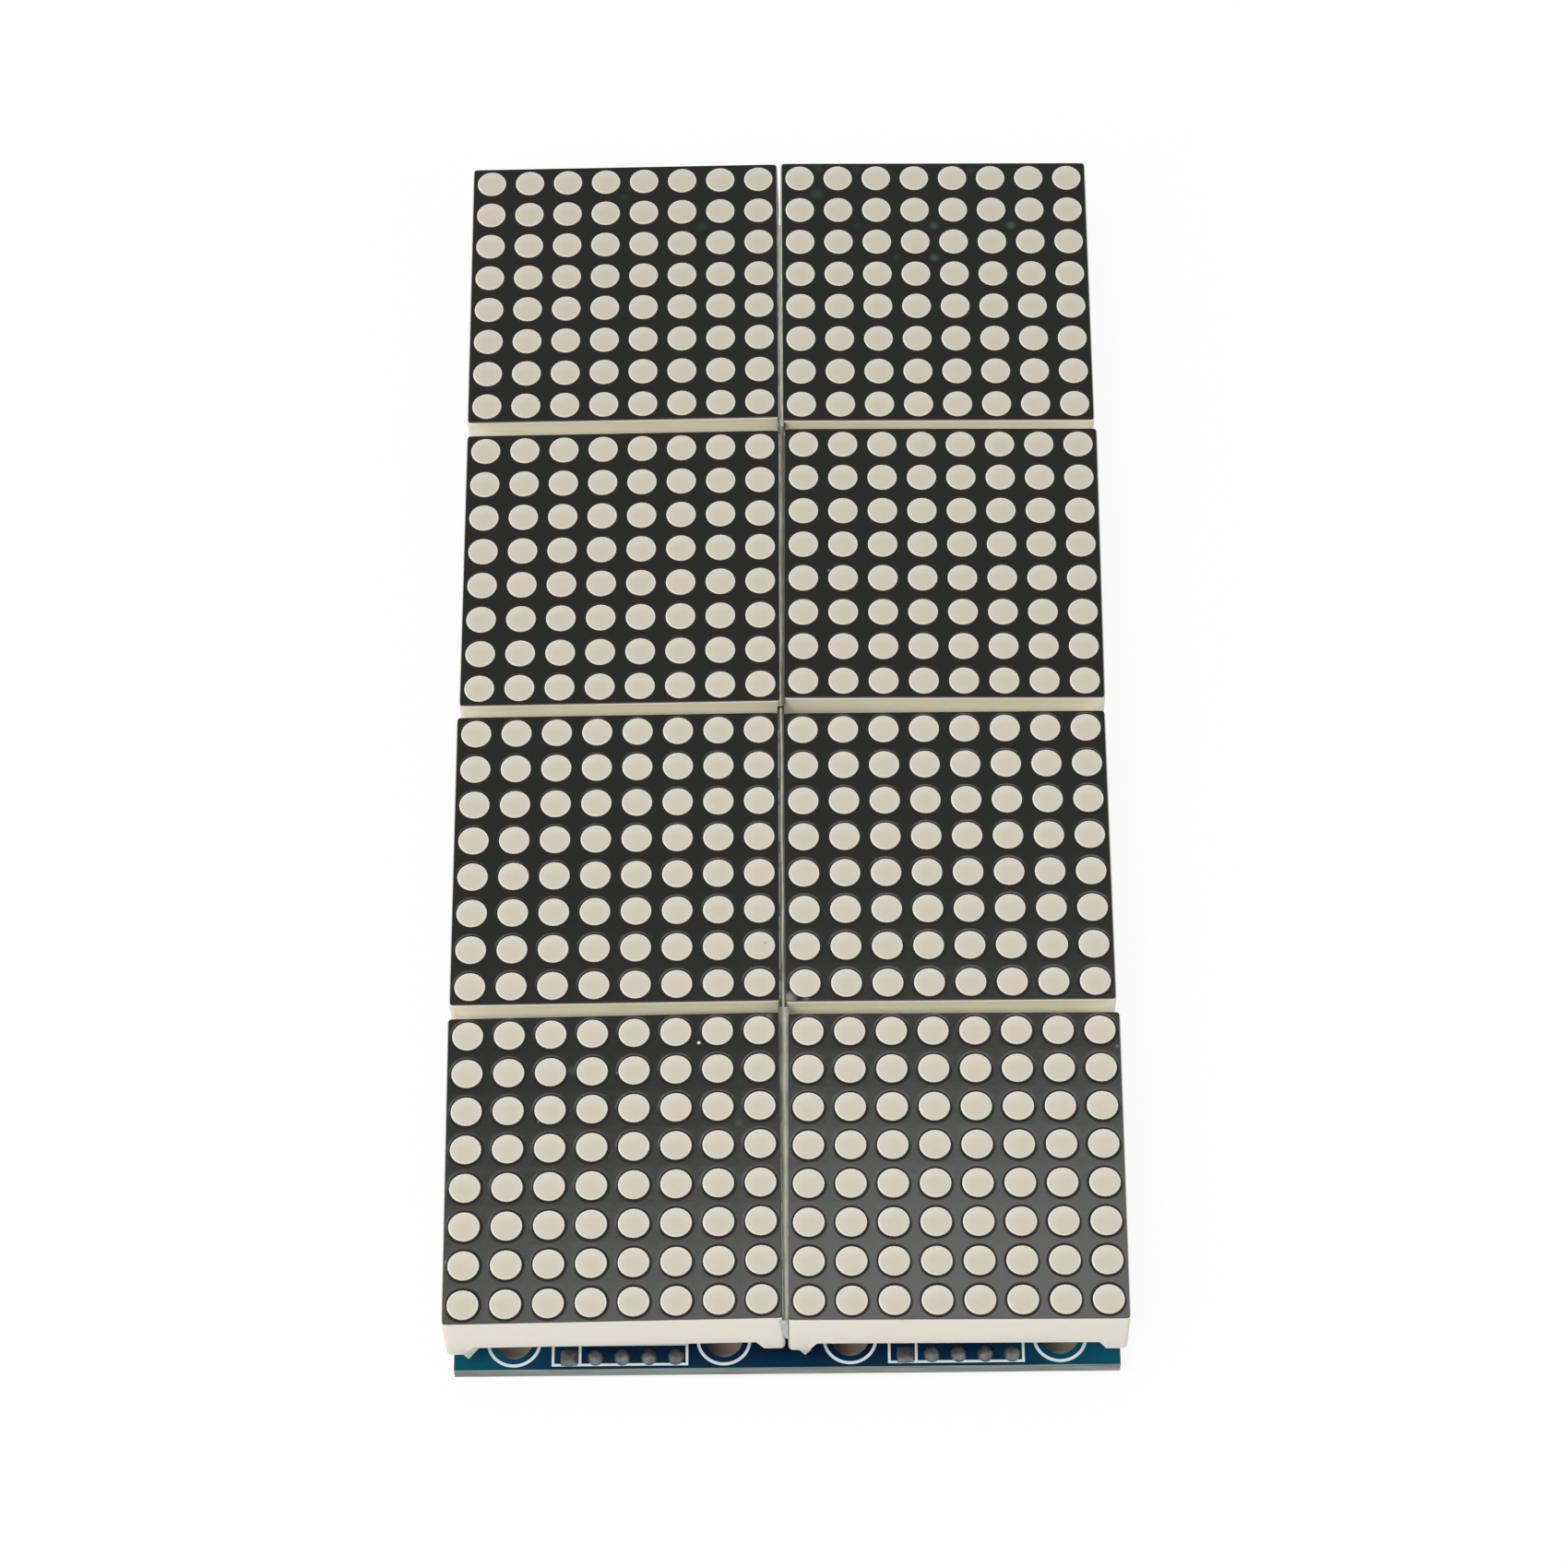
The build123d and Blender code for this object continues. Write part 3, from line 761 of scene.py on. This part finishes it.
facing = add_node(board_tree, "ShaderNodeNewGeometry").outputs["True Normal"]
facing_up = add_node(board_tree, "ShaderNodeSeparateXYZ", {0: facing}).outputs["Z"]
board_edge = ramp(maths("ABSOLUTE", facing_up), 0.5, 0.4)
board_tree.links.new(ramp(board_edge, 0.0, 1.0, 0.20, 0.6), board_shader.inputs["Roughness"])
lay_over(BOARD, (0.255, 0.28, 0.265), board_edge)
board_layers = use(streaks, place_of(BOARD), Stretch=(150.0, 150.0, 3000.0), Low=0.42, High=0.62)
lay_over(BOARD, (0.165, 0.185, 0.165), maths("MULTIPLY", board_layers, board_edge))

# Painted shade: the walls of the holes are painted browner and darker than the board's outer edges
off_side = maths("LESS_THAN", board_side, (BOARD_HALF[0] - EDGE_SKIN) * MM)
off_end = maths("LESS_THAN", board_end, (BOARD_HALF[1] - EDGE_SKIN) * MM)
lay_over(BOARD, (0.135, 0.122, 0.105), maths("MULTIPLY", maths("MULTIPLY", off_side, off_end), board_edge))

# %% [markdown]
# ## White print
# The print is a ring round each mounting hole and a frame round each group of pads, with a bar
# between the first pad and the rest. Each is a thin closed band: a small rectangle carried round a
# circle or round a rectangle's four corners.

# %% Print on the board
PRINT_HEIGHT = 0.02
COLUMN_X = 16.0
HOLE_FROM_COLUMN = 10.0
HOLE_Y = 63.1
RING_OUTER = 2.61
RING_LINE = 0.30
FRAME_LINE = 0.25
FRAME_SHIFT = 0.10
PAD_SHIFT = 0.33
PAD_Y = 64.8
PIN_PITCH = 2.54
PADS = 5
FRAME_HALF_WIDTH = 6.5
FRAME_NEAR = 0.3
FRAME_FAR = 2.6


def band(inner_loop, outer_loop):
    """A thin closed band on the board between two loops of points."""
    low, high = BOARD_TOP, BOARD_TOP + PRINT_HEIGHT
    loops = [level(outer_loop, low), level(outer_loop, high), level(inner_loop, high), level(inner_loop, low)]
    return np.concatenate(loops), quads(4, len(inner_loop), wrap_rows=True, wrap_columns=True).tolist()


def box_loop(low_x, low_y, high_x, high_y):
    """Four corners of a rectangle."""
    return np.array([(low_x, low_y), (high_x, low_y), (high_x, high_y), (low_x, high_y)])


RING_STEPS = 48
ring_rays = 2 * np.pi * np.arange(RING_STEPS) / RING_STEPS
circle = np.stack([np.cos(ring_rays), np.sin(ring_rays)], -1)
ring_points, ring_faces = band(circle * (RING_OUTER - RING_LINE), circle * RING_OUTER)
hole_centres = np.array([(column * COLUMN_X + side * HOLE_FROM_COLUMN, end * HOLE_Y, 0.0)
                         for column in (-1, 1) for side in (-1, 1) for end in (-1, 1)])
print_parts = [repeat(ring_points, ring_faces, hole_centres)]
for column in (-1, 1):
    for end in (-1, 1):
        middle = column * COLUMN_X + FRAME_SHIFT
        near, far = sorted((end * (BOARD_HALF[1] - FRAME_NEAR), end * (BOARD_HALF[1] - FRAME_FAR)))
        left, right = middle - FRAME_HALF_WIDTH, middle + FRAME_HALF_WIDTH
        inner = (left + FRAME_LINE, near + FRAME_LINE, right - FRAME_LINE, far - FRAME_LINE)
        print_parts.append(band(box_loop(*inner), box_loop(left, near, right, far)))
        bar = middle - 1.5 * PIN_PITCH
        print_parts.append(band(box_loop(bar - 0.01, inner[1], bar + 0.01, inner[3]),
                                box_loop(bar - FRAME_LINE / 2, inner[1], bar + FRAME_LINE / 2, inner[3])))
print_points, print_faces = join(*print_parts)
piece("board_print", print_points, print_faces, PRINT, crisp=30)
print("print", len(print_faces), "faces")


# %% [markdown]
# ## Solder
# Solder wets its pad and draws up into a low dome, so each joint is a profile turned about an
# upright axis. The first pad of a group is square, and its joint is a rounded square that shrinks
# as it rises.

# %% Solder joints
def turned(profile, steps):
    """A surface of revolution about Z from (radius, height) points; a radius of nothing closes it."""
    angle = 2 * np.pi * np.arange(steps) / steps
    ring = np.stack([np.cos(angle), np.sin(angle)], -1)
    return tube([level(ring * radius, height) for radius, height in profile], close=False)


def squared(points, sharpness):
    """Moves round rings towards a square: each point goes out along its ray by a share of the way."""
    flat = np.abs(points[:, :2])
    reach = np.linalg.norm(points[:, :2], axis=1) / np.maximum(flat.max(1), 1e-9)
    pushed = points.copy()
    pushed[:, :2] *= (1 + (reach - 1) * sharpness)[:, None]
    return pushed


DOME = ((0.0, 0.0), (0.82, 0.0), (0.82, 0.05), (0.71, 0.31), (0.50, 0.57), (0.25, 0.68), (0.0, 0.68))
FLAT_DOME = ((0.0, 0.0), (0.84, 0.0), (0.84, 0.06), (0.70, 0.24), (0.40, 0.36), (0.0, 0.38))
CONE = ((0.0, 0.0), (0.85, 0.0), (0.85, -0.03), (0.45, -0.45), (0.27, -0.85), (0.10, -0.93), (0.0, -0.93))
end_pads = [(column * COLUMN_X + PAD_SHIFT + (k - PADS // 2) * PIN_PITCH, end * PAD_Y, BOARD_TOP)
            for column in (-1, 1) for end in (-1, 1) for k in range(PADS)]
round_points, round_faces = turned(DOME, 16)
square_points, square_faces = turned(FLAT_DOME, 16)
square_points = squared(square_points, 0.75)
first_pads = np.array(end_pads[::PADS])
other_pads = np.array([pad for k, pad in enumerate(end_pads) if k % PADS])
pad_points, pad_faces = join(repeat(round_points, round_faces, other_pads),
                             repeat(square_points, square_faces, first_pads))
piece("end_pad_solder", pad_points, pad_faces, SOLDER, ["pad_solder"], crisp=50)

MODULE_X = 16.2
SOCKET_SHIFT = 12.0
SOCKET_X = [column * MODULE_X + side * SOCKET_SHIFT for column in (-1, 1) for side in (-1, 1)]
SOCKET_Y = [(row - 2.5) * ROW_PITCH + (k - 3.5) * PIN_PITCH for row in ROWS for k in range(8)]
contacts = np.array([(x, y, 0.0) for x in SOCKET_X for y in SOCKET_Y])
cone_points, cone_faces = turned(CONE, 8)
contact_points, contact_faces = repeat(cone_points, cone_faces, contacts)
piece("socket_solder", contact_points, contact_faces, SOLDER, ["socket_joints"], crisp=50)
print("solder joints", len(end_pads) + len(contacts))

# %% [markdown]
# ## Leads and pins
# Each driver chip stands on 24 gull-wing leads: thin strips that leave the chip at mid height,
# step down and lie on their pads. A header pin is a square bar that comes down through the board,
# bends and runs out of the header to a tapered tip. Both are a small rectangle carried along a
# path.


# %% Driver leads
def bar(path, half_width, half_thickness):
    """A bar along a path of (x, z) points; its width lies along y."""
    path = np.asarray(path)
    heading = np.gradient(path, axis=0)
    heading /= np.linalg.norm(heading, axis=1, keepdims=True)
    across = np.stack([-heading[:, 1], heading[:, 0]], -1) * np.reshape(half_thickness, (-1, 1))
    rim = [np.column_stack([(path + out * across)[:, 0], np.full(len(path), side) * half_width,
                            (path + out * across)[:, 1]]) for side, out in ((-1, -1), (1, -1), (1, 1), (-1, 1))]
    return tube(np.stack(rim, 1))


LEAD_PITCH = 1.27
LEADS_PER_SIDE = 12
lead = bar(((3.55, 1.2), (4.2, 1.2), (4.5, 0.25), (4.65, 0.13), (5.25, 0.13)), 0.21, 0.125)
pair_points, pair_faces = join(lead, (lead[0] * [-1, 1, 1], lead[1]))
module_spots = np.array([(column * MODULE_X, (row - 2.5) * ROW_PITCH, BOARD_TOP)
                         for column in (-1, 1) for row in ROWS])
lead_line = np.array([(0.0, (k - (LEADS_PER_SIDE - 1) / 2) * LEAD_PITCH, 0.0) for k in range(LEADS_PER_SIDE)])
lead_spots = (module_spots[:, None] + lead_line[None]).reshape(-1, 3)
lead_points, lead_faces = repeat(pair_points, pair_faces, lead_spots)
piece("driver_leads", lead_points, lead_faces, TIN, crisp=30)
print("leads", 2 * len(lead_spots))

# %% Headers at the far end
HEADER_DEPTH = 2.54
HEADER_Y = (66.30, 68.84)
HEADER_NOTCH = 0.4
PIN_AXIS = -1.27
PIN_TIP = 74.84
PIN_HALF = 0.32
cell_line = [(step, rise) for k in range(PADS) for step, rise in (
    ((k - PADS / 2) * PIN_PITCH, HEADER_NOTCH), ((k - PADS / 2) * PIN_PITCH + HEADER_NOTCH, 0.0),
    ((k - PADS / 2 + 1) * PIN_PITCH - HEADER_NOTCH, 0.0))] + [(PADS / 2 * PIN_PITCH, HEADER_NOTCH)]
cell_line = np.array(cell_line)
header_rim = np.concatenate([cell_line - [0, HEADER_DEPTH], cell_line[::-1] * [1, -1]])
header = tube([np.column_stack([header_rim[:, 0], np.full(len(header_rim), y), header_rim[:, 1]]) for y in HEADER_Y])
header_spots = np.array([(column * COLUMN_X + PAD_SHIFT, 0.0, 0.0) for column in (-1, 1)])
header_points, header_faces = repeat(*header, header_spots)
piece("notched_headers", header_points, header_faces, SOCKET_BLACK, ["header_bodies"], crisp=20)

turn = np.radians(np.arange(0, 91, 22.5))
bend_radius = 0.5
pin_path = np.concatenate([[(PAD_Y, BOARD_TOP - 0.02)],
                           np.column_stack([PAD_Y + bend_radius * (1 - np.cos(turn)),
                                            PIN_AXIS + bend_radius * (1 - np.sin(turn))]),
                           [(PIN_TIP - 0.5, PIN_AXIS), (PIN_TIP, PIN_AXIS)]])
pin_size = np.full(len(pin_path), PIN_HALF)
pin_size[-1] = PIN_HALF / 2
pin_points, pin_faces = bar(pin_path, pin_size, pin_size)
pin_spots = np.array([(column * COLUMN_X + PAD_SHIFT + (k - PADS // 2) * PIN_PITCH, 0.0, 0.0)
                      for column in (-1, 1) for k in range(PADS)])
pins_points, pins_faces = repeat(pin_points[:, [1, 0, 2]], pin_faces, pin_spots)
piece("bent_header_pins", pins_points, pins_faces, GOLD, ["header_pins"], crisp=30)

# %% Metal ends of the small parts
# Place from the module's middle, then length, width and height of the part
SMALL_PARTS = ((2.4, 9.125, 2.0, 1.25, 0.9), (-2.0, 9.9, 3.5, 2.8, 1.9), (2.4, -9.125, 2.0, 1.25, 0.55))
END_CAP = 0.35
COVER = 0.02
end_parts = []
for part_x, part_y, length, width, height in SMALL_PARTS:
    for side in (-1, 1):
        inside, outside = sorted((side * (length / 2 - END_CAP), side * (length / 2 + COVER)))
        loop = box_loop(part_x + inside, part_y - width / 2 - COVER, part_x + outside, part_y + width / 2 + COVER)
        end_parts.append(tube([level(loop, 0.0), level(loop, height + COVER)]))
ends_points, ends_faces = repeat(*join(*end_parts), module_spots)
piece("part_ends", ends_points, ends_faces, TIN, crisp=30)
print("header pins", len(pin_spots), "part ends", len(end_parts) * len(module_spots))

# %% [markdown]
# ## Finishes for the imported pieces
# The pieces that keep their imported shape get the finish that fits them.

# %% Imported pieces
FINISH_OF = {"circuit_board": BOARD, "chip_board": CHIP_BOARD, "module_pins": TIN, "socket_strips": SOCKET_BLACK,
             "driver_chips": EPOXY, "ceramic_capacitors": CERAMIC, "tank_capacitors": AMBER, "resistors": RESISTOR}
for node_name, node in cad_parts.items():
    for start, material in FINISH_OF.items():
        if node_name.startswith(start):
            for place in node.material_slots:
                place.material = material

# %% [markdown]
# ## What the near modules mirror
# The two near modules shine grey, because they lean so that they mirror a broad softbox beyond the
# far end, and the others do not. The softbox is a card whose glow grows from its far edge towards
# its near side, and grows more slowly on the left. Only mirroring surfaces see it, so it adds no
# light to the rest.

# %% Softbox card
CARD_HEIGHT = 612.8
CARD_HALF = 150.0
CARD_START = 120.0
CARD_END = 270.0
CARD_EDGE = 247.0
CARD_EDGE_SLOPE = 0.06

card_x, card_y = np.meshgrid(np.linspace(-CARD_HALF, CARD_HALF, 61), np.linspace(CARD_START, CARD_END, 151))
inside = (CARD_EDGE + CARD_EDGE_SLOPE * card_x - card_y).clip(0)
right_glow = 1.3 * (inside / 6).clip(0, 1) + (0.11 * inside).clip(0, 5)
left_glow = 0.35 * (inside / 5).clip(0, 1) + (0.0027 * inside ** 2).clip(0, 5)
share_right = ((card_x + 25) / 20).clip(0, 1)
fade = ((CARD_HALF - np.abs(card_x)) / 60).clip(0, 1) * ((card_y - CARD_START) / 40).clip(0, 1)
glow = 1 + (share_right * right_glow + (1 - share_right) * left_glow) * fade
card_data = bpy.data.meshes.new("softbox_card")
card_points = np.stack([card_x, card_y, np.full_like(card_x, CARD_HEIGHT)], -1).reshape(-1, 3) * MM
card_data.from_pydata(card_points.tolist(), [], quads(*card_x.shape).tolist())
card_data.attributes.new("glow", "FLOAT", "POINT").data.foreach_set("value", glow.ravel())
CARD = bpy.data.materials.new("softbox_glow")
CARD.use_nodes = True
card_tree = CARD.node_tree
card_tree.nodes.clear()
card_light = add_node(card_tree, "ShaderNodeEmission", {"Strength": kept_value(CARD, "glow")})
add_node(card_tree, "ShaderNodeOutputMaterial", {0: card_light.outputs[0]})
card_data.materials.append(CARD)
card = add_object("softbox_card", card_data)
card.visible_camera = False
card.visible_diffuse = False
card.visible_transmission = False
card.visible_shadow = False

# %% [markdown]
# ## Floor
# A plain white floor lies under the lowest point of the board. What the camera sees of it is part
# paint and part even white, more of it further from the board, so the shadow stays but is soft
# and the ground fades to white. Under the board it is painted dark brown, a painted shadow that
# shows through the holes.

# %% Floor
FLOOR_HALF = 2000.0
EVEN_NEAR = (-3.0, -0.5)  # the even white comes in here, past the board's edge, and then slowly
EVEN_FAR = (0.0, 30.0)
PAINTED_SHADOW_UNDER = (-2.5, -3.2)
floor_z = cad_low[2] / MM
floor_data = bpy.data.meshes.new("floor")
floor_corners = box_loop(-FLOOR_HALF, -FLOOR_HALF, FLOOR_HALF, FLOOR_HALF)
floor_data.from_pydata((level(floor_corners, floor_z) * MM).tolist(), [], [(0, 1, 2, 3)])
FLOOR = finish("floor_white", (0.96, 0.96, 0.96), (0.955, 0.955, 0.955), 0.8, 4.0, bump=0.0)
floor_tree = FLOOR.node_tree
past_side, past_end = (maths("SUBTRACT", maths("ABSOLUTE", axis), half * MM)
                       for axis, half in zip(axes_of(FLOOR)[:2], BOARD_HALF))
floor_past = maths("MAXIMUM", past_side, past_end)
even_near = ramp(floor_past, EVEN_NEAR[0] * MM, EVEN_NEAR[1] * MM, end=0.93, kind="SMOOTHSTEP")
even_far = ramp(floor_past, EVEN_FAR[0] * MM, EVEN_FAR[1] * MM, end=0.07)
even_share = maths("MULTIPLY", maths("ADD", even_near, even_far), seen_directly(floor_tree))
floor_white = add_node(floor_tree, "ShaderNodeEmission", {"Strength": 1.0})
floor_mix = add_node(floor_tree, "ShaderNodeMixShader", {
    0: even_share, 1: floor_tree.nodes["Principled BSDF"].outputs[0], 2: floor_white.outputs[0]})
floor_tree.links.new(floor_mix.outputs[0], floor_tree.nodes["Material Output"].inputs["Surface"])
# Painted shadow: dark brown on the floor under the board
lay_over(FLOOR, (0.345, 0.28, 0.235), ramp(floor_past, PAINTED_SHADOW_UNDER[0] * MM, PAINTED_SHADOW_UNDER[1] * MM))
floor_data.materials.append(FLOOR)
floor = add_object("floor", floor_data)
